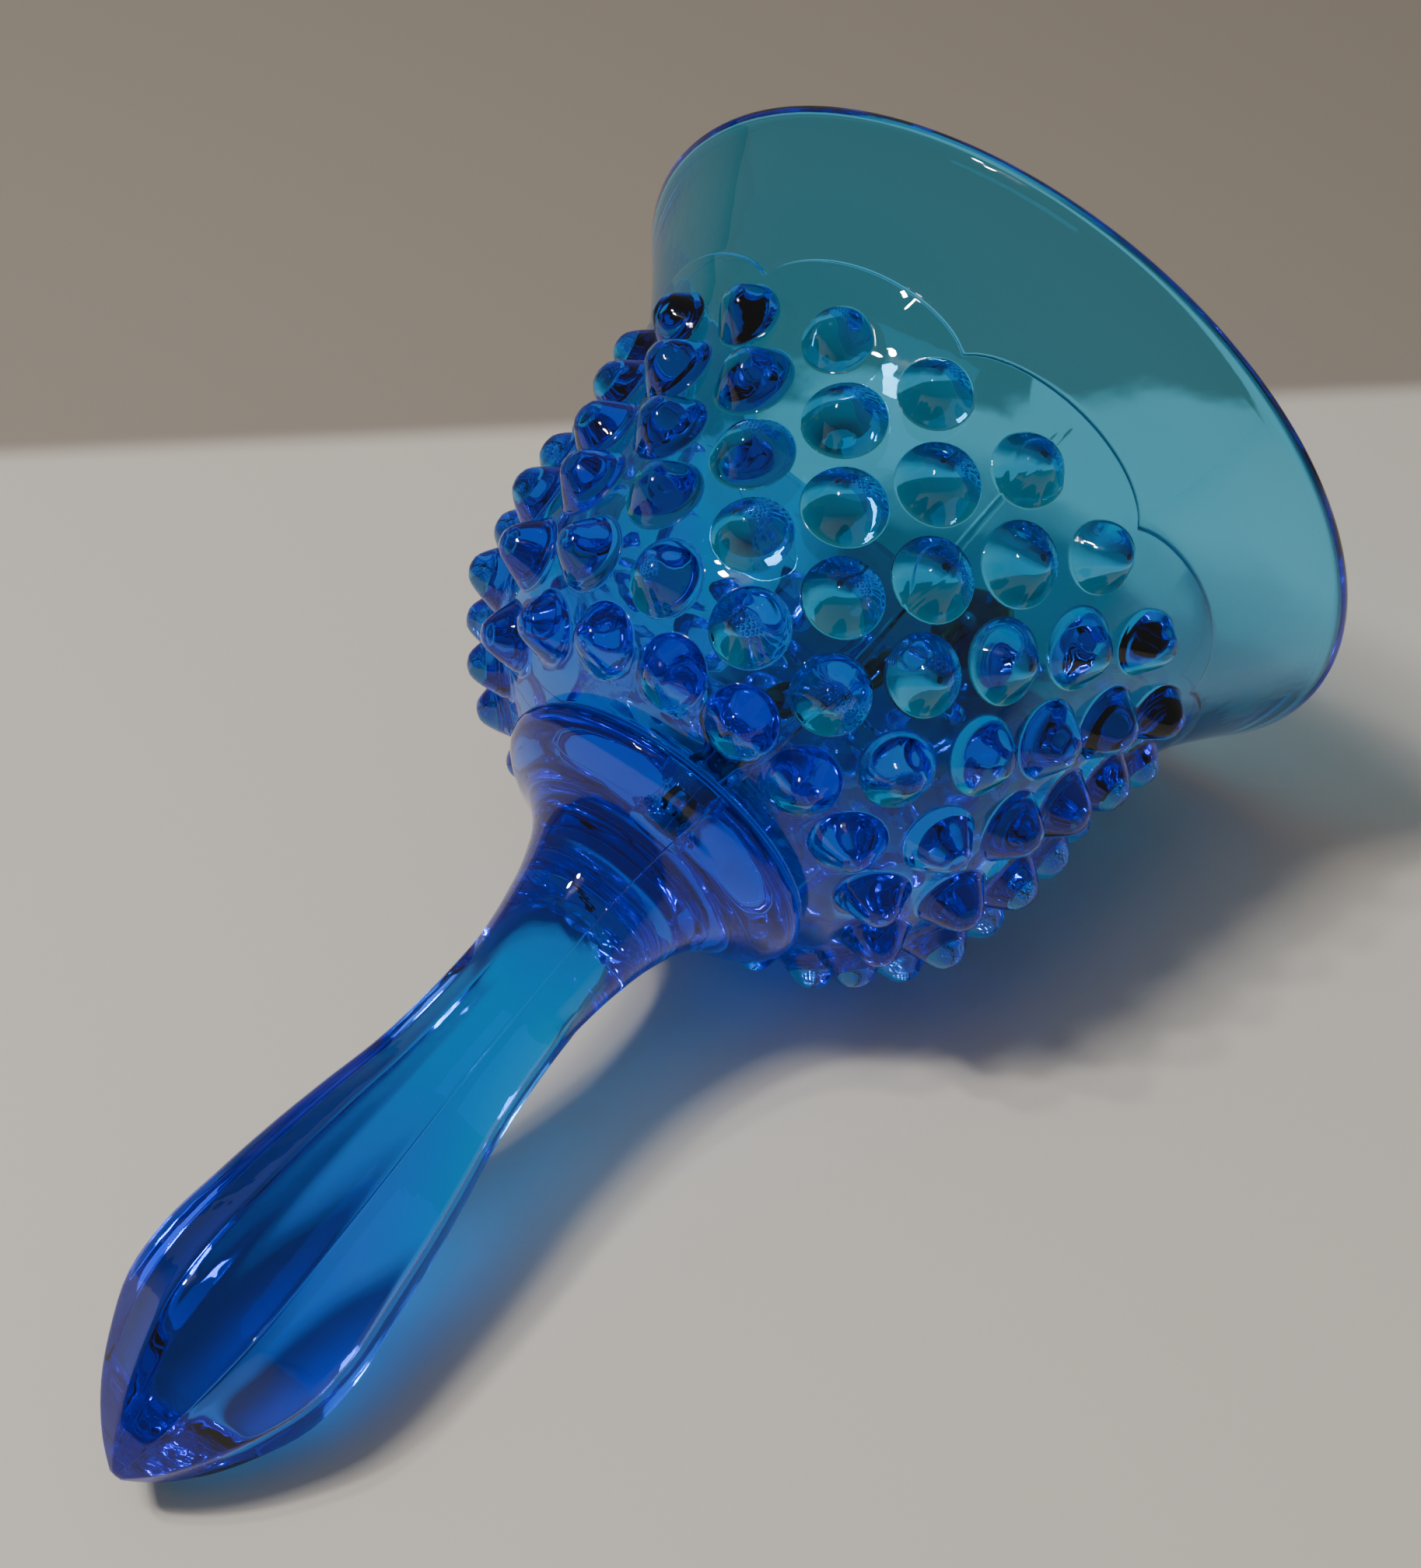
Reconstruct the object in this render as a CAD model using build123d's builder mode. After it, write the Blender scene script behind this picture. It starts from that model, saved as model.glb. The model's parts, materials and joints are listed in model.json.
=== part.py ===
from build123d import *
import math
import os

os.makedirs("parts", exist_ok=True)

# A pressed-glass hand bell lying on its side, with a chained clapper inside. Everything is drawn in the bell's
# own frame, in millimetres: Z runs from the mouth plane (0) to the handle's tip, and +X is the side that ends
# up underneath. The last step lays the bell down.

rest_tilt = 15.16      # the axis drops toward the handle by this many degrees when the bell lies down

# Outer wall: smooth flare, then studded body up to the shoulder, then the cap and the trumpet neck: (radius, Z).
lip_land = (43.9, 45.2)        # the flat ring at the mouth that the bell stands on
flare_wall = [(46.0, 1.5), (44.0, 4.0), (41.1, 8.0), (38.4, 12.0), (35.7, 16.2)]
body_wall = [(36.2, 16.2), (34.2, 19.9), (32.9, 27.4), (32.2, 35.3), (31.7, 43.0), (30.9, 47.0), (29.3, 50.5),
             (27.1, 54.0), (24.6, 56.7), (21.2, 59.0), (17.4, 60.5)]
cap_wall = [(17.4, 60.5), (18.4, 61.6), (18.3, 63.0), (17.2, 64.3), (13.6, 66.3), (10.7, 69.0), (8.8, 73.0),
            (7.6, 78.0), (6.6, 86.0)]
inner_wall = [(43.1, 1.0), (40.9, 4.0), (37.9, 8.0), (35.2, 12.0), (32.6, 16.2), (30.8, 20.0), (29.1, 27.4),
              (28.2, 35.3), (27.0, 43.0), (24.6, 47.5), (20.0, 51.0), (12.0, 53.6), (0.0, 54.8)]

# Studs: six rows round the body, every second row moved by half a space.
stud_count = 18
stud_rows = [  # Z, wall radius, base radius, height, tilt of the wall's normal toward the handle
    (19.9, 34.2, 3.8, 3.7, 9), (27.4, 32.9, 4.2, 3.9, 7), (35.3, 32.2, 4.2, 3.9, 4), (43.0, 31.7, 4.0, 3.8, 7),
    (50.5, 29.3, 3.9, 4.15, 24), (56.7, 24.6, 3.6, 3.6, 42)]
stud_phase = 5.0       # first stud of an odd row, degrees from the underside
stud_root = 2.0        # how far a stud goes into the wall

# The raised border between studs and flare is a ring of scallops.
scallop_count = 9
scallop_reach = (13.6, 4.0)    # half width and half height of one scallop
scallop_level = 17.4
scallop_phase = 25.0
border_step = 0.5

# The handle is eight-sided: its flats' distance from the axis, then Z.
handle_flats = [(6.9, 70.0), (6.5, 80.0), (6.75, 90.0), (7.5, 98.0), (8.8, 105.0), (9.8, 111.0), (10.7, 118.0),
                (11.4, 126.0), (10.9, 131.0), (8.9, 136.0), (5.9, 141.0), (2.5, 144.6), (0.6, 146.0)]
handle_edge = 10.0     # one of its edges, degrees from the underside

hole_radius = 2.5      # blind hole in the crown for the plug
hole_top = 58.8          # top of the moulded hole
plug_face = 55.6
fit_gap = 0.05

eye_wire = 1.0         # hanger eye: wire, ring radius to the wire's centre, ring centre
eye_radius = 2.0
eye_level = 52.4
shank_top = 58.0

link_count = 10
link_wire = 0.9
link_bow = 1.65        # radius of a link's bow, to the wire's centre
link_play = 0.06

ball_radius = 5.5
ball_at = (31.6, 6.9)  # clapper's centre: X and Z
pin_wire = 0.8
pin_eye = 1.6

studs = []
for z, wall, base, tall, tilt in stud_rows:
    with BuildPart() as stud:
        with BuildSketch(Plane.XZ):
            with BuildLine():
                Polyline((0, tall), (0, -stud_root), (base, -stud_root), (base, 0.15))
                Spline((base, 0.15), (base * 0.84, tall * 0.28), (base * 0.56, tall * 0.68),
                       (base * 0.3, tall * 0.93), (0, tall), tangents=[(-0.35, 1), (-1, 0)])
            make_face()
        revolve(axis=Axis.Z)
    studs.append(stud.part)

# Eight flats: four slabs with the handle's outline, each turned 45 degrees from the last.
with BuildPart() as handle:
    for k in range(4):
        mode = Mode.ADD if k == 0 else Mode.INTERSECT
        side = Plane.XZ.rotated((0, 0, handle_edge + 22.5 + 45 * k))
        with BuildSketch(side):
            with BuildLine():
                Spline(*handle_flats)
                Line(handle_flats[-1], (-handle_flats[-1][0], handle_flats[-1][1]))
                Spline(*[(-r, z) for r, z in handle_flats])
                Line(handle_flats[0], (-handle_flats[0][0], handle_flats[0][1]))
            make_face()
        extrude(amount=20, both=True, mode=mode)

# The raised rim of the studded body, trimmed to the scallops.
with BuildPart() as border:
    with BuildSketch(Plane.XZ):
        with BuildLine():
            Spline(*[(r + border_step, z) for r, z in flare_wall[1:]])
            Polyline((flare_wall[-1][0] + border_step, 16.2), (35.6, 18.0), (31.0, 18.0), (39.0, 4.0),
                     (flare_wall[1][0] + border_step, 4.0))
        make_face()
    revolve(axis=Axis.Z)
    with BuildSketch(Plane.YZ.rotated((0, 0, scallop_phase))):
        with Locations((0, scallop_level)):
            Ellipse(*scallop_reach)
    extrude(amount=60, mode=Mode.INTERSECT)

with BuildPart() as glass_bell:
    with BuildSketch(Plane.XZ):
        with BuildLine():
            Line((0, 0), (0, 86))
            Line((0, 86), cap_wall[-1])
            Spline(*cap_wall)
            Spline(*body_wall)
            Line(body_wall[0], flare_wall[-1])
            Spline(*flare_wall)
            Spline(flare_wall[0], (45.8, 0.5), (lip_land[1], 0))
            Line((lip_land[1], 0), (0, 0))
        make_face()
    revolve(axis=Axis.Z)
    add(handle.part)
    with PolarLocations(0, scallop_count):
        add(border.part)
    for row, (z, wall, base, tall, tilt) in enumerate(stud_rows):
        first = stud_phase - (row % 2) * 180 / stud_count
        with Locations((0, 0, z)):
            with PolarLocations(wall, stud_count, start_angle=first):
                with Locations(Location((0, 0, 0), (0, 90 - tilt, 0))):
                    add(studs[row])
    with BuildSketch(Plane.XZ):
        with BuildLine():
            Spline(*inner_wall)
            Line(inner_wall[-1], (0, -1))
            Line((0, -1), (lip_land[0], -1))
            Line((lip_land[0], -1), (lip_land[0], 0))
            Line((lip_land[0], 0), inner_wall[0])
        make_face()
    revolve(axis=Axis.Z, mode=Mode.SUBTRACT)
    with Locations((0, 0, hole_top)):
        Cylinder(hole_radius, hole_top - 50, align=(Align.CENTER, Align.CENTER, Align.MAX), mode=Mode.SUBTRACT)

# The plug sits in the blind hole and holds the hanger eye's shank.
plug_height = hole_top - fit_gap - plug_face
with BuildPart() as crown_plug:
    with Locations((0, 0, plug_face)):
        Cylinder(hole_radius - fit_gap, plug_height, align=(Align.CENTER, Align.CENTER, Align.MIN))
        Cylinder(eye_wire / 2 + fit_gap, shank_top + fit_gap - plug_face,
                 align=(Align.CENTER, Align.CENTER, Align.MIN), mode=Mode.SUBTRACT)

with BuildPart() as hanger_eye:
    with Locations(Location((0, 0, eye_level), (0, 90, 0))):
        Torus(eye_radius, eye_wire / 2)
    with Locations((0, 0, eye_level + eye_radius)):
        Cylinder(eye_wire / 2, shank_top - eye_level - eye_radius, align=(Align.CENTER, Align.CENTER, Align.MIN))

# The chain runs straight from the eye's lowest wire to the ball. Along it, Z is forward and X is up.
start = Vector(0, 0, eye_level - eye_radius)
end = Vector(ball_at[0], 0, ball_at[1])
reach = (end - start).length
chain = Plane(origin=start, x_dir=Vector(0, 1, 0).cross(end - start), z_dir=end - start)
eye_to_link = (eye_wire + link_wire) / 2 + link_play
link_to_link = link_wire + link_play
link_to_pin = (link_wire + pin_wire) / 2 + link_play
pin_tail = ball_radius + 0.1 + pin_wire / 2 + 2 * pin_eye
link_span = (reach - pin_tail + eye_to_link + (link_count - 1) * link_to_link + link_to_pin) / link_count
link_leg = link_span / 2 - link_bow

with BuildPart() as link:
    for side in (1, -1):
        with BuildSketch(Plane.XY.offset(side * link_leg)):
            with Locations((link_bow, 0)):
                Circle(link_wire / 2)
        revolve(axis=Axis((0, 0, side * link_leg), (0, -side, 0)), revolution_arc=180)
    with Locations((link_bow, 0, 0), (-link_bow, 0, 0)):
        Cylinder(link_wire / 2, 2 * link_leg)

with BuildPart() as clapper_ball:
    Sphere(ball_radius)
    Cylinder(pin_wire / 2 + fit_gap, 3 * ball_radius, mode=Mode.SUBTRACT)

# Head pin: an eye on the chain's side, a shank through the ball and a head beyond it.
with BuildPart() as clapper_pin:
    with Locations(Location((0, 0, pin_eye - pin_tail), (90, 0, 0))):
        Torus(pin_eye, pin_wire / 2)
    with Locations((0, 0, 2 * pin_eye - pin_tail)):
        Cylinder(pin_wire / 2, pin_tail - 2 * pin_eye + ball_radius + 0.3,
                 align=(Align.CENTER, Align.CENTER, Align.MIN))
    with Locations((0, 0, ball_radius)):
        Cylinder(1.0, 0.5, align=(Align.CENTER, Align.CENTER, Align.MIN))

# Lay the bell on its studs and handle: its lowest point at Z=0 and the middle of its outline over the origin.
tilt = math.radians(rest_tilt)
turned = Plane(origin=(0, 0, 0), x_dir=(math.sin(tilt), 0, -math.cos(tilt)),
               z_dir=(-math.cos(tilt), 0, -math.sin(tilt)))
box = glass_bell.part.moved(turned.location).bounding_box()
middle = box.center()
lay = Location((-middle.X, -middle.Y, -box.min.Z)) * turned.location

pieces = {"glass_bell": glass_bell.part.moved(lay), "crown_plug": crown_plug.part.moved(lay),
          "hanger_eye": hanger_eye.part.moved(lay)}
for k in range(link_count):
    along = k * (link_span - link_to_link) - eye_to_link + link_span / 2
    place = lay * chain.location * Location((0, 0, along), (0, 0, 90 * (k % 2)))
    pieces[f"chain_link_{k + 1:02d}"] = link.part.moved(place)
hung = lay * chain.location * Location((0, 0, reach))
pieces["clapper_ball"] = clapper_ball.part.moved(hung)
pieces["clapper_pin"] = clapper_pin.part.moved(hung)

for name, shape in pieces.items():
    shape.label = name
    export_step(shape, f"parts/{name}.step")

# Where the chain's pivots, the ball and the mouth end up once laid, in millimetres and unit vectors.
pivots = [(lay * chain.location * Location((0, 0, z))).position
          for z in [0] + [k * (link_span - link_to_link) - eye_to_link + link_span for k in range(link_count)]]
frame = Plane(lay * chain.location)
print("size", box.size, "lay", lay.position, "link span", round(link_span, 3))
print("chain forward", frame.z_dir, "chain up", frame.x_dir)
for k, p in enumerate(pivots):
    print("pivot", k + 1, p)
print("ball centre", hung.position, "gap to glass",
      pieces["clapper_ball"].distance_to(pieces["glass_bell"]), pieces["clapper_pin"].distance_to(pieces["glass_bell"]))
print("mouth centre", lay.position, "land point", (lay * Location((44.5, 0, 0))).position, "volume cm3",
      round(glass_bell.part.volume / 1000, 1), "centre", (glass_bell.part.center(CenterOf.MASS)))
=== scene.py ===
import math

import bmesh
import bpy
from mathutils import Matrix, Vector
from mathutils.geometry import interpolate_bezier
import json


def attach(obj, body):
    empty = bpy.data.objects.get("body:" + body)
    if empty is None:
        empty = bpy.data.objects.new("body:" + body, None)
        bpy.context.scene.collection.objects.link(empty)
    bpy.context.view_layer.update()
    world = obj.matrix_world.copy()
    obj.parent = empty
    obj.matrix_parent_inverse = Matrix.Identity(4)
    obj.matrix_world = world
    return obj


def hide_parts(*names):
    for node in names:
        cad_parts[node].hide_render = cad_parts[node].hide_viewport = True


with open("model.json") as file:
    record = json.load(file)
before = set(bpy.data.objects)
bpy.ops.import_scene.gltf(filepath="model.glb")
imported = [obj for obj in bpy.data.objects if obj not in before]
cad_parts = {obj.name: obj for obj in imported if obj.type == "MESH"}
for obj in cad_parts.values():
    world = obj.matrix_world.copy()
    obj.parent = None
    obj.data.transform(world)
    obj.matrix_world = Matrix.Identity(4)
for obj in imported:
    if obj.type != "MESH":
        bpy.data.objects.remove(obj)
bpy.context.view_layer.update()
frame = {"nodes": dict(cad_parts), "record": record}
mm = 0.001


def colour(code):  # linear colour from an sRGB hex value
    parts = [int(code[i:i + 2], 16) / 255 for i in (0, 2, 4)]
    return [c / 12.92 if c <= 0.04045 else ((c + 0.055) / 1.055) ** 2.4 for c in parts] + [1]


def addNode(tree, kind, settings=None, links=None):
    node = tree.nodes.new(kind)
    for key, value in (settings or {}).items():
        if isinstance(key, int) or key in node.inputs:
            node.inputs[key].default_value = value
        else:
            setattr(node, key, value)
    for key, source in (links or {}).items():
        tree.links.new(source, node.inputs[key])
    return node


def newFinish(name):
    finish = bpy.data.materials.new(name)
    finish.use_nodes = True
    finish.node_tree.nodes.clear()
    return finish, finish.node_tree


# Camera: a long lens close above the end of the handle.
cameraSet = {"place": (-0.17210, -0.12908, 0.25285), "turn": (45.341, -2.469, -52.868), "lens": 76.2}
lens = bpy.data.cameras.new("camera")
lens.sensor_fit = "HORIZONTAL"
lens.lens = cameraSet["lens"]
lens.clip_start = 0.01
camera = bpy.data.objects.new("camera", lens)
camera.location = cameraSet["place"]
camera.rotation_euler = [math.radians(a) for a in cameraSet["turn"]]
bpy.context.collection.objects.link(camera)
bpy.context.scene.camera = camera

# The bell's own frame: Z from the mouth to the tip, X towards the floor. It comes from the rim's mount.
rimRadius = 44.5  # the mount lies on the lip, this far from the axis
rim = next(m for m in frame["record"]["mounts"] if m["name"] == "mouth_rim")
outOfMouth = Vector(rim["axis"]).normalized()
bellUp = -outOfMouth
bellDown = (Vector((0, 0, -1)) - Vector((0, 0, -1)).dot(bellUp) * bellUp).normalized()
bellSide = bellUp.cross(bellDown)
mouthCentre = Vector(rim["pos_m"]) - rimRadius * mm * bellDown
toRow = Matrix.Translation(mouthCentre) @ Matrix((bellDown, bellSide, bellUp)).transposed().to_4x4()

# Glass: walls as (radius, height above the mouth) in mm, angles in degrees about the axis from the underside.
glassSet = {
    "around": 216,
    "lip": [(43.9, 0.0), (44.55, 0.0), (45.2, 0.0), (45.62, 0.2), (45.87, 0.55), (45.98, 1.0), (45.99, 1.5)],
    "flare": [(45.99, 1.5), (44.0, 4.0), (41.1, 8.0), (38.4, 12.0), (35.7, 16.2)],
    "body": [(36.2, 16.2), (34.2, 19.9), (32.9, 27.4), (32.2, 35.3), (31.7, 43.0), (30.9, 47.0), (29.3, 50.5),
             (27.1, 54.0), (24.6, 56.7), (21.2, 59.0), (17.4, 60.5)],
    "cap": [(17.4, 60.5), (18.15, 61.1), (18.4, 61.6), (18.3, 63.0), (17.2, 64.3), (13.6, 66.3), (10.7, 69.0),
            (8.8, 73.0), (7.6, 78.0), (6.6, 86.0)],
    "inner": [(43.1, 1.0), (40.9, 4.0), (37.9, 8.0), (35.2, 12.0), (32.6, 16.2), (30.8, 20.0), (29.1, 27.4),
              (28.2, 35.3), (27.0, 43.0), (24.6, 47.5), (20.0, 51.0), (12.0, 53.6), (6.0, 54.6)],
    "rimInside": [(43.5, 0.3), (43.1, 1.0)],
    "hole": (2.55, 58.85),
    "scallops": 9, "scallopRadius": 36.0, "scallopReach": (13.6, 4.0), "scallopLevel": 17.4, "scallopAngle": 25,
    "borderSteps": [(0.10, 0.42), (0.02, 0.24), (-0.10, 0.05), (-0.40, 0.0)],
    "flareRings": [12.4, 11.2, 10.0, 8.8, 7.6, 6.4, 5.2, 4.0, 3.1, 2.3, 1.5],
    "capRings": [60.75, 61.1, 61.6, 62.3, 63.0, 63.7, 64.3, 64.9, 65.5, 66.3, 67.2, 68.2, 69.0, 69.8],
    "flats": [(6.9, 70), (6.5, 80), (6.75, 90), (7.5, 98), (8.8, 105), (9.8, 111), (10.7, 118), (11.4, 126),
              (10.9, 131), (8.9, 136), (5.9, 141), (2.5, 144.6), (0.6, 146)],
    "handleEdge": 10, "handleSides": 8, "handleBlend": (70, 86), "handleStart": 70.4, "tip": (145.9, 146.0),
    "handleSteps": [(90, 0.8), (136, 1.4), (143, 0.9), (146, 0.45)],
}
# Studs: rows from the mouth up, as (height, base radius, stud height), and one stud's rings as shares of its base.
# The margin is the wall between the last row and the cap.
studSet = {
    "count": 18, "angle": 5,
    "rows": [(19.9, 3.8, 3.7), (27.4, 4.2, 3.9), (35.3, 4.2, 3.9), (43.0, 4.0, 3.8), (50.5, 3.9, 4.15),
             (56.7, 3.6, 3.6)],
    "rings": [1.5, 1.05, 0.995, 0.95, 0.84, 0.70, 0.56, 0.43, 0.30, 0.14],
    "profile": [(1.0, 0.04), (0.84, 0.28), (0.56, 0.68), (0.30, 0.93), (0.0, 1.0)],
    "tilt": [9, 7, 4, 7, 24, 42],
    "topMargin": 4.7,
}


def smoothLine(points, parts=30):  # a smooth line through points of any number of values
    points = [Vector(list(p) + [0] * (3 - len(p))) for p in points]
    slopes = []
    for i, p in enumerate(points):
        before, after = points[max(i - 1, 0)], points[min(i + 1, len(points) - 1)]
        a, b = (p - before).length, (after - p).length
        if a and b:
            slopes.append(((p - before) / a * b + (after - p) / b * a) / (a + b))
        else:
            slopes.append((after - before) / (a + b))
    line = [points[0]]
    for i in range(len(points) - 1):
        reach = (points[i + 1] - points[i]).length / 3
        line += interpolate_bezier(points[i], points[i] + slopes[i] * reach,
                                   points[i + 1] - slopes[i + 1] * reach, points[i + 1], parts + 1)[1:]
    return line


def lookUp(line, value, key=1):  # the point of a line where one of its values is the given one
    for a, b in zip(line, line[1:]):
        if (a[key] - value) * (b[key] - value) <= 0 and a[key] != b[key]:
            return a.lerp(b, (value - a[key]) / (b[key] - a[key]))
    return line[0] if abs(line[0][key] - value) < abs(line[-1][key] - value) else line[-1]


def withLength(line):  # (radius, height, length so far)
    done, out = 0, [Vector((line[0][0], line[0][1], 0))]
    for a, b in zip(line, line[1:]):
        done += (Vector(b[:2]) - Vector(a[:2])).length
        out.append(Vector((b[0], b[1], done)))
    return out


def place(turn, radius, height):
    return Vector((radius * math.cos(math.radians(turn)), radius * math.sin(math.radians(turn)), height))


def grow(bm, ring):  # one more ring beside this one, its vertices in the same order
    edges = [bm.edges.get((a, b)) for a, b in zip(ring, ring[1:] + ring[:1])]
    grown = bmesh.ops.extrude_edge_only(bm, edges=edges)["geom"]
    fresh = {v for v in grown if isinstance(v, bmesh.types.BMVert)}
    return [next(e.other_vert(v) for e in v.link_edges if e.other_vert(v) in fresh) for v in ring]


def shut(bm, ring, point):  # closes a ring on one point
    last = grow(bm, ring)
    bmesh.ops.pointmerge(bm, verts=last, merge_co=point)


def finish(bm, name):
    mesh = bpy.data.meshes.new(name)
    bm.to_mesh(mesh)
    bm.free()
    piece = bpy.data.objects.new(name, mesh)
    bpy.context.collection.objects.link(piece)
    return piece


flare = smoothLine(glassSet["flare"])
bodyLine = withLength(smoothLine([(38.9, 12.0)] + glassSet["body"]))
capLine = smoothLine(glassSet["cap"])
innerLine = smoothLine(glassSet["inner"])
flatLine = smoothLine(glassSet["flats"])
studProfile = smoothLine(studSet["profile"], 8)
turnStep = 360 / glassSet["around"]


def borderLevel(turn):  # the scalloped line: arcs towards the mouth, cusps towards the handle
    pitch = 360 / glassSet["scallops"]
    off = abs((turn - glassSet["scallopAngle"] + pitch / 2) % pitch - pitch / 2)
    across = math.radians(off) * glassSet["scallopRadius"] / glassSet["scallopReach"][0]
    return glassSet["scallopLevel"] - glassSet["scallopReach"][1] * math.sqrt(1 - min(across, 1) ** 2)


def wallAt(length):
    return lookUp(bodyLine, length, 2)


rowLengths = [lookUp(bodyLine, level)[2] for level, _, _ in studSet["rows"]]
columnPitch = 360 / studSet["count"]


def lineBetween(row, turn):  # the zigzag between this row of studs and the next, as a length along the wall
    if row < 0:
        return lookUp(bodyLine, borderLevel(turn) + 0.25)[2]
    if row == len(rowLengths) - 1:
        return rowLengths[-1] + studSet["topMargin"]
    mid, gap = (rowLengths[row] + rowLengths[row + 1]) / 2, rowLengths[row + 1] - rowLengths[row]
    half = wallAt(mid)[0] * math.radians(columnPitch / 2)
    ownTurn = studSet["angle"] - (columnPitch / 2 if row % 2 else 0)
    off = abs((turn - ownTurn + columnPitch / 2) % columnPitch - columnPitch / 2) / (columnPitch / 2)
    return mid + (1 - 2 * off) * half ** 2 / (2 * gap)


def studHeight(share, tall):  # the stud's own profile: a soft cone with a rounded top
    return lookUp(studProfile, share, 0)[1] * tall


def stud(bm, row, turn):  # one stud with the patch of wall round it, out to its neighbours'
    level, base, tall = studSet["rows"][row]
    wall = lookUp(bodyLine, level)
    tilt = math.radians(studSet["tilt"][row])
    out = Vector((math.cos(tilt), 0, math.sin(tilt)))
    up = Vector((-math.sin(tilt), 0, math.cos(tilt)))
    foot = Vector((wall[0], 0, level))
    turned = Matrix.Rotation(math.radians(turn), 4, "Z")
    half = columnPitch / 2

    def drop(point):  # along the stud's axis onto the wall
        for _ in range(4):
            radius = math.hypot(point[0], point[1])
            point = point + out * (lookUp(bodyLine, point[2])[0] - radius) * 0.9
        return point

    edge = []  # the patch's outline: right side, top, left side, bottom
    sideParts, topParts = 4, round(half / turnStep)
    low, high = lineBetween(row - 1, turn + half), lineBetween(row, turn + half)
    for i in range(sideParts // 2, sideParts):
        edge.append((half, low + (high - low) * i / sideParts))
    edge += [(half - i * turnStep, lineBetween(row, turn + half - i * turnStep)) for i in range(2 * topParts)]
    low, high = lineBetween(row - 1, turn - half), lineBetween(row, turn - half)
    edge += [(-half, high + (low - high) * i / sideParts) for i in range(sideParts)]
    edge += [(-half + i * turnStep, lineBetween(row - 1, turn - half + i * turnStep)) for i in range(2 * topParts)]
    low, high = lineBetween(row - 1, turn + half), lineBetween(row, turn + half)
    edge += [(half, low + (high - low) * i / sideParts) for i in range(sideParts // 2)]

    count = len(edge)
    ring = bmesh.ops.create_circle(bm, segments=count, radius=1)["verts"]
    for v, (off, length) in zip(ring, edge):
        at = wallAt(length)
        v.co = place(turn + off, at[0], at[1])
    outline = []
    for i in range(count):
        a = 2 * math.pi * i / count
        way = Vector((0, math.cos(a), 0)) + up * math.sin(a)
        small, large = 0.3, 1.02
        for _ in range(12):
            share = (small + large) / 2
            on = foot + way * (share * base)
            above = (drop(on) - on).dot(out)
            if studHeight(share, tall) > above:
                small = share
            else:
                large = share
        outline.append((way, small))
    outer = [turned.inverted() @ v.co for v in ring]
    for share in studSet["rings"]:
        ring = grow(bm, ring)
        for v, (way, reach), far in zip(ring, outline, outer):
            on = foot + way * (min(share, 1.05) * reach * base)
            if share > 1:  # still on the wall, part of the way in from the outline of the patch
                v.co = turned @ drop(on.lerp(far, max(share - 1.05, 0)))
            else:
                v.co = turned @ (on + out * studHeight(share * reach, tall))
    shut(bm, ring, turned @ (foot + out * tall))


def handleRadius(turn, level):  # the round neck runs into the flats, and their edges are softened
    blend, edgeSoft, edgeCut = 0.12, 0.1, 0.012
    first, last = glassSet["handleBlend"]
    radius = lookUp(capLine, level)[0] if level < last else 0
    if level >= first:
        flat = lookUp(flatLine, level)[0]
        pitch = 360 / glassSet["handleSides"]
        off = (turn - glassSet["handleEdge"] + pitch) % pitch - pitch / 2
        side = flat / math.cos(math.radians(off))
        corner = flat / math.cos(math.radians(pitch / 2)) - edgeCut * flat
        side = corner - (math.hypot(corner - side, edgeSoft) + (corner - side)) / 2
        radius = (radius + side + math.hypot(radius - side, blend)) / 2 if radius else side
    return radius


print("glass: studded wall")
bm = bmesh.new()
for column in range(2):
    for row in range(len(studSet["rows"])):
        stud(bm, row, studSet["angle"] + column * columnPitch - (columnPitch / 2 if row % 2 else 0))
copies = round(360 / (2 * columnPitch))
bmesh.ops.spin(bm, geom=bm.verts[:] + bm.edges[:] + bm.faces[:], axis=(0, 0, 1), cent=(0, 0, 0),
               angle=math.radians(360 / copies * (copies - 1)), steps=copies - 1, use_duplicate=True)
bmesh.ops.remove_doubles(bm, verts=bm.verts, dist=0.01)


def openRing(bm, low):  # the open edge nearest the mouth or the handle, in order of angle
    verts = {v for e in bm.edges if e.is_boundary for v in e.verts}
    mid = sum(v.co.z for v in verts) / len(verts)
    ring = [v for v in verts if (v.co.z < mid) == low]
    return sorted(ring, key=lambda v: math.atan2(v.co.y, v.co.x))


def ringTo(bm, ring, spot):
    ring = grow(bm, ring)
    for v in ring:
        turn = math.degrees(math.atan2(v.co.y, v.co.x))
        v.co = place(turn, *spot(turn))
    return ring


print("glass: flare, lip and inner wall")
ring = openRing(bm, True)
for lift, proud in glassSet["borderSteps"]:
    ring = ringTo(bm, ring, lambda turn: (lookUp(flare, borderLevel(turn) + lift)[0] + proud,
                                          borderLevel(turn) + lift))
lastLift, flatLevel = glassSet["borderSteps"][-1][0], glassSet["flareRings"][0]


def flareSpot(turn, share):  # from the scalloped line, share 0, to the first level ring, share 1
    level = (borderLevel(turn) + lastLift) * (1 - share) + flatLevel * share
    return lookUp(flare, level)[0], level


for share in (0.35, 0.7):
    ring = ringTo(bm, ring, lambda turn: flareSpot(turn, share))
for level in glassSet["flareRings"]:
    ring = ringTo(bm, ring, lambda turn: (lookUp(flare, level)[0], level))
for radius, level in reversed(glassSet["lip"][:-1]):
    ring = ringTo(bm, ring, lambda turn: (radius, level))
for radius, level in glassSet["rimInside"]:
    ring = ringTo(bm, ring, lambda turn: (radius, level))
for at in innerLine[2::2]:
    ring = ringTo(bm, ring, lambda turn: (at[0], at[1]))
hole, top = glassSet["hole"]
for radius, level in ((4.0, 54.75), (hole + 0.3, 54.82), (hole, 55.1), (hole, 56.8), (hole, top - 0.2),
                      (hole - 0.2, top)):
    ring = ringTo(bm, ring, lambda turn: (radius, level))
shut(bm, ring, (0, 0, top))

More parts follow.
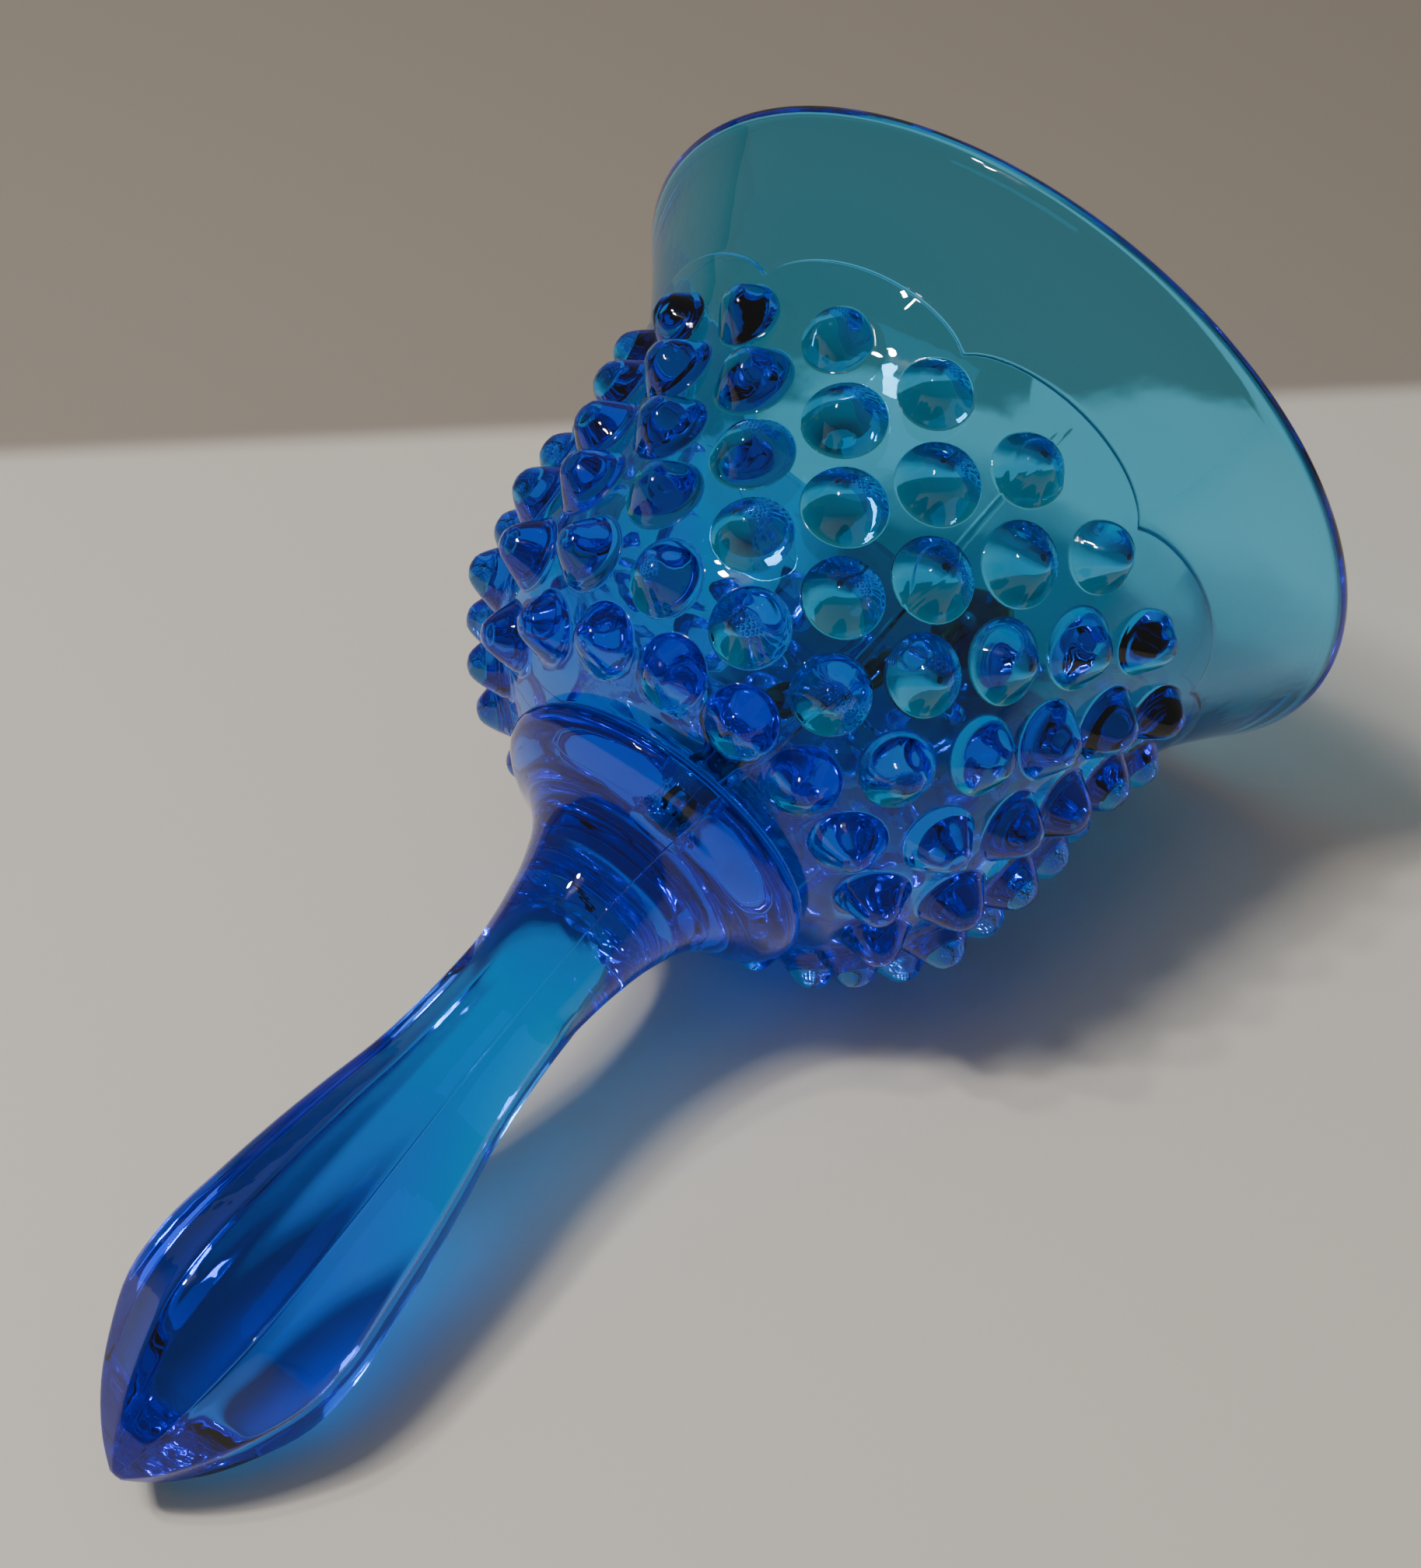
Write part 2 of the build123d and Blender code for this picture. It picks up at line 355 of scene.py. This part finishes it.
print("glass: shoulder, neck and handle")
ring = openRing(bm, False)
for length in (0.35, 0.7, 0.92, 1.0):
    start = rowLengths[-1] + studSet["topMargin"]
    at = wallAt(start + (bodyLine[-1][2] - start) * length)
    ring = ringTo(bm, ring, lambda turn: (at[0], at[1]))
for level in glassSet["capRings"]:
    ring = ringTo(bm, ring, lambda turn: (lookUp(capLine, level)[0], level))
level = glassSet["handleStart"]
lastRing, tip = glassSet["tip"]
while level < lastRing:
    ring = ringTo(bm, ring, lambda turn: (handleRadius(turn, level), level))
    level += next(gap for limit, gap in glassSet["handleSteps"] if level < limit)
ring = ringTo(bm, ring, lambda turn: (handleRadius(turn, lastRing), lastRing))
shut(bm, ring, (0, 0, tip))

bmesh.ops.recalc_face_normals(bm, faces=bm.faces)
for face in bm.faces:
    face.smooth = True
bmesh.ops.scale(bm, vec=(mm, mm, mm), verts=bm.verts)
bmesh.ops.transform(bm, matrix=toRow, verts=bm.verts)
openEdges = sum(not e.is_manifold for e in bm.edges)
print("glass: faces", len(bm.faces), "open edges", openEdges, "volume cm3", bm.calc_volume() * 1e6)
glass = finish(bm, "pressed_glass")

# The wall between the studs is smooth in the mould, so its shading follows the wall and not the patches.
wallSet = {"from": 14, "to": 60, "leastRadius": 10, "within": 0.003, "reach": 0.3}
toBell = toRow.inverted()
shading = []
for v in glass.data.vertices:
    at = (toBell @ v.co) / mm
    radius, way = math.hypot(at.x, at.y), Vector((0, 0, 0))
    if wallSet["from"] < at.z < wallSet["to"] and radius > wallSet["leastRadius"]:
        wall = lookUp(bodyLine, at.z)
        if abs(wall[0] - radius) < wallSet["within"]:
            reach = wallSet["reach"]
            low, high = lookUp(bodyLine, at.z - reach), lookUp(bodyLine, at.z + reach)
            lean = (low[0] - high[0]) / (2 * reach)
            way = toRow.to_3x3() @ Vector((at.x / radius, at.y / radius, lean)).normalized()
    shading.append(way)
glass.data.normals_split_custom_set_from_vertices(shading)
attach(glass, "glass")
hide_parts("glass_bell")

# Cobalt blue soda-lime glass, pressed in a mould and fire polished: clear, glossy, faintly wavy, darker with depth.
cobaltSet = {"tint": "9be2fb", "waveSize": 9, "waveDepth": 0.06, "seamDepth": 0.05, "density": 440,
             "absorbs": (0.05, 0.85, 0.992), "seams": 3, "seamAngle": 25, "seamFrom": 14}
cobalt, tree = newFinish("pressed_cobalt_glass")
coords = addNode(tree, "ShaderNodeTexCoord")
turnBack = addNode(tree, "ShaderNodeMapping", {"Location": toBell.translation, "Rotation": toBell.to_euler()},
                   {"Vector": coords.outputs["Object"]})
waves = addNode(tree, "ShaderNodeTexNoise", {"Scale": 1 / (cobaltSet["waveSize"] * mm), "Detail": 3.0},
                {"Vector": turnBack.outputs[0]})
wavy = addNode(tree, "ShaderNodeBump", {"Distance": cobaltSet["waveDepth"] * mm, "Strength": 1.0},
               {"Height": waves.outputs["Fac"]})
turns = addNode(tree, "ShaderNodeTexGradient", {"gradient_type": "RADIAL"}, {"Vector": turnBack.outputs[0]})
seamCount, seamAt = cobaltSet["seams"], cobaltSet["seamAngle"] / 360 + 0.5
thirds = addNode(tree, "ShaderNodeMath", {"operation": "MULTIPLY_ADD", 1: seamCount, 2: 0.5 - seamCount * seamAt},
                 {0: turns.outputs["Fac"]})
fold = addNode(tree, "ShaderNodeMath", {"operation": "FRACT"}, {0: thirds.outputs[0]})
away = addNode(tree, "ShaderNodeMath", {"operation": "SUBTRACT", 1: 0.5}, {0: fold.outputs[0]})
off = addNode(tree, "ShaderNodeMath", {"operation": "ABSOLUTE"}, {0: away.outputs[0]})
ridge = addNode(tree, "ShaderNodeMapRange", {"interpolation_type": "SMOOTHSTEP", "From Min": 0.0, "From Max": 0.006,
                                             "To Min": 1.0, "To Max": 0.0}, {"Value": off.outputs[0]})
heights = addNode(tree, "ShaderNodeSeparateXYZ", links={"Vector": turnBack.outputs[0]})
above = addNode(tree, "ShaderNodeMapRange", {"From Min": cobaltSet["seamFrom"] * mm,
                                             "From Max": (cobaltSet["seamFrom"] + 1) * mm},
                {"Value": heights.outputs["Z"]})
ridge = addNode(tree, "ShaderNodeMath", {"operation": "MULTIPLY"}, {0: ridge.outputs[0], 1: above.outputs[0]})
seams = addNode(tree, "ShaderNodeBump", {"Distance": cobaltSet["seamDepth"] * mm, "Strength": 1.0},
                {"Height": ridge.outputs[0], "Normal": wavy.outputs[0]})
clear = addNode(tree, "ShaderNodeBsdfPrincipled", {"Base Color": colour(cobaltSet["tint"]), "Roughness": 0.015,
                                                   "IOR": 1.52, "Transmission Weight": 1.0},
                {"Normal": seams.outputs[0]})
depth = addNode(tree, "ShaderNodeVolumeAbsorption", {"Color": list(cobaltSet["absorbs"]) + [1],
                                                     "Density": cobaltSet["density"]})
addNode(tree, "ShaderNodeOutputMaterial", links={"Surface": clear.outputs[0], "Volume": depth.outputs[0]})
glass.data.materials.append(cobalt)

# Old brass wire, dark with tarnish: brown metal with a few brighter, smoother patches.
brass, tree = newFinish("drawn_brass_wire")
coords = addNode(tree, "ShaderNodeTexCoord")
patches = addNode(tree, "ShaderNodeTexNoise", {"Scale": 1 / (2.5 * mm), "Detail": 4.0},
                  {"Vector": coords.outputs["Object"]})
tone = addNode(tree, "ShaderNodeMix", {"data_type": "RGBA", "A": colour("7c6436"), "B": colour("2f2417")},
               {"Factor": patches.outputs["Fac"]})
dull = addNode(tree, "ShaderNodeMapRange", {"To Min": 0.22, "To Max": 0.5}, {"Value": patches.outputs["Fac"]})
metal = addNode(tree, "ShaderNodeBsdfPrincipled", {"Metallic": 1.0},
                {"Base Color": tone.outputs["Result"], "Roughness": dull.outputs[0]})
addNode(tree, "ShaderNodeOutputMaterial", links={"Surface": metal.outputs[0]})

# Grey dental plaster that holds the eye: matt, with fine grit and pores.
plaster, tree = newFinish("cast_grey_plaster")
coords = addNode(tree, "ShaderNodeTexCoord")
grit = addNode(tree, "ShaderNodeTexNoise", {"Scale": 1 / (0.5 * mm), "Detail": 5.0},
               {"Vector": coords.outputs["Object"]})
tone = addNode(tree, "ShaderNodeMix", {"data_type": "RGBA", "A": colour("56524c"), "B": colour("8a857b")},
               {"Factor": grit.outputs["Fac"]})
rough = addNode(tree, "ShaderNodeBump", {"Distance": 0.08 * mm}, {"Height": grit.outputs["Fac"]})
matt = addNode(tree, "ShaderNodeBsdfPrincipled", {"Roughness": 0.85},
               {"Base Color": tone.outputs["Result"], "Normal": rough.outputs[0]})
addNode(tree, "ShaderNodeOutputMaterial", links={"Surface": matt.outputs[0]})

# Black glass bead, wound on a rod: deep gloss with faint turning marks.
bead, tree = newFinish("wound_black_glass")
coords = addNode(tree, "ShaderNodeTexCoord")
wind = addNode(tree, "ShaderNodeTexNoise", {"Scale": 1 / (4 * mm), "Detail": 2.0},
               {"Vector": coords.outputs["Object"]})
tone = addNode(tree, "ShaderNodeMix", {"data_type": "RGBA", "A": colour("0b0f18"), "B": colour("1c2433")},
               {"Factor": wind.outputs["Fac"]})
faint = addNode(tree, "ShaderNodeBump", {"Distance": 0.05 * mm}, {"Height": wind.outputs["Fac"]})
gloss = addNode(tree, "ShaderNodeBsdfPrincipled", {"Roughness": 0.08, "IOR": 1.52},
                {"Base Color": tone.outputs["Result"], "Normal": faint.outputs[0]})
addNode(tree, "ShaderNodeOutputMaterial", links={"Surface": gloss.outputs[0]})

wearing = {"crown_plug": plaster, "hanger_eye": brass, "clapper_pin": brass, "clapper_ball": bead}
for name, node in frame["nodes"].items():
    if name == "glass_bell":
        continue
    part = node if isinstance(node, bpy.types.Object) else bpy.data.objects[name]
    for slot in part.material_slots:
        slot.material = wearing.get(name, brass)

print("floor and light")
# Floor: pale cloth, with a darker table beyond its far edge.
floorSet = {"cloth": "aaa398", "table": "766d62", "edge": (97, 57), "away": (0.713, 0.702), "soft": 0.003,
            "size": 1.6}
cloth, tree = newFinish("pale_table_cloth")
coords = addNode(tree, "ShaderNodeTexCoord")
reach = addNode(tree, "ShaderNodeVectorMath", {"operation": "DOT_PRODUCT", 1: (*floorSet["away"], 0)},
                {0: coords.outputs["Object"]})
edgeAt = (floorSet["edge"][0] * floorSet["away"][0] + floorSet["edge"][1] * floorSet["away"][1]) * mm
beyond = addNode(tree, "ShaderNodeMapRange", {"interpolation_type": "SMOOTHSTEP", "From Min": edgeAt - floorSet["soft"],
                                              "From Max": edgeAt + floorSet["soft"]}, {"Value": reach.outputs["Value"]})
tone = addNode(tree, "ShaderNodeMix", {"data_type": "RGBA", "A": colour(floorSet["cloth"]),
                                       "B": colour(floorSet["table"])}, {"Factor": beyond.outputs[0]})
soft = addNode(tree, "ShaderNodeBsdfPrincipled", {"Roughness": 0.9}, {"Base Color": tone.outputs["Result"]})
addNode(tree, "ShaderNodeOutputMaterial", links={"Surface": soft.outputs[0]})
bm = bmesh.new()
bmesh.ops.create_grid(bm, x_segments=1, y_segments=1, size=floorSet["size"])
floor = finish(bm, "floor")
floor.data.materials.append(cloth)

sky = bpy.data.worlds.new("studio")
sky.use_nodes = True
tree = sky.node_tree
tree.nodes.clear()
coords = addNode(tree, "ShaderNodeTexCoord")
parts = addNode(tree, "ShaderNodeSeparateXYZ", links={"Vector": coords.outputs["Generated"]})
ramp = addNode(tree, "ShaderNodeValToRGB", links={"Fac": parts.outputs["Z"]})
stops = ramp.color_ramp.elements
stops[0].position, stops[0].color = 0.0, colour("8a8680")
stops[1].position, stops[1].color = 0.75, colour("86868a")
glow = addNode(tree, "ShaderNodeBackground", {"Strength": 0.9}, {"Color": ramp.outputs["Color"]})
addNode(tree, "ShaderNodeOutputWorld", links={"Surface": glow.outputs[0]})
bpy.context.scene.world = sky

lampAim = Vector((0.02, 0, 0.04))
lampSet = {  # the small lamps give the sharp highlights, the wide ones the soft light
    "key": {"at": (-0.32, 0.14, 0.745), "size": 0.13, "watts": 5.0, "seen": False},
    "sparkLeft": {"at": (-0.34, 0.20, 0.66), "size": 0.04, "watts": 2.2, "seen": True},
    "sparkRight": {"at": (-0.26, 0.24, 0.68), "size": 0.03, "watts": 1.4, "seen": True},
    "overhead": {"at": (-0.35, 0.10, 0.95), "size": 0.7, "watts": 2.5, "seen": False},
}
for name, lampUse in lampSet.items():
    data = bpy.data.lights.new(name, "AREA")
    data.size = lampUse["size"]
    data.energy = lampUse["watts"]
    lamp = bpy.data.objects.new(name, data)
    lamp.location = lampUse["at"]
    lamp.visible_glossy = lampUse["seen"]
    lamp.rotation_euler = (lampAim - Vector(lampUse["at"])).to_track_quat("-Z", "Y").to_euler()
    bpy.context.collection.objects.link(lamp)

cycles = bpy.context.scene.cycles
cycles.max_bounces = 24
cycles.transmission_bounces = 24
cycles.glossy_bounces = 8
cycles.transparent_max_bounces = 16
cycles.sample_clamp_indirect = 60
